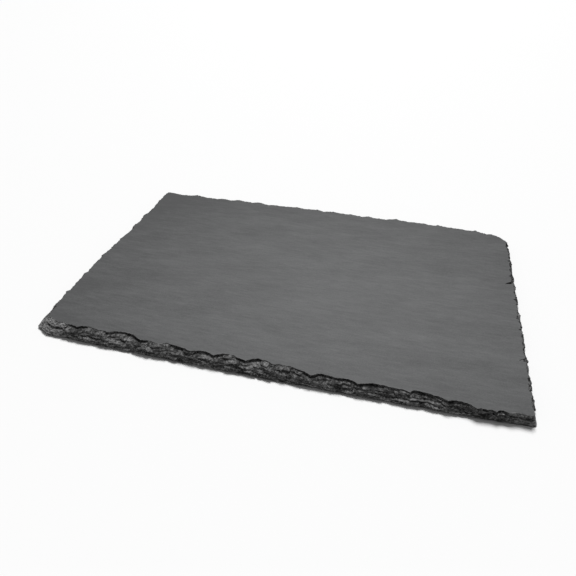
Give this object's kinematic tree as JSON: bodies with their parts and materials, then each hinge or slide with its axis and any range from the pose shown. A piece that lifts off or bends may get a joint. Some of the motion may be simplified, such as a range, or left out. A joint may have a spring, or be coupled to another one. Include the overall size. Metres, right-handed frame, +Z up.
{
  "type": "slate slab",
  "caption": "Thin rectangular slab of dark grey split slate with hand-knapped, bevelled edges, lying flat on its underside.",
  "frame": {"origin": "under the middle of the slab, on the flat underside that it rests on", "axes": "+X along the long edges, +Y across the slab from the front edge to the back edge, +Z up through the thickness"},
  "size_m": [0.352, 0.239, 0.007],
  "materials": {
    "slate": "matte"
  },
  "bodies": {
    "root": {"slate_slab": "slate"}
  },
  "joints": []
}
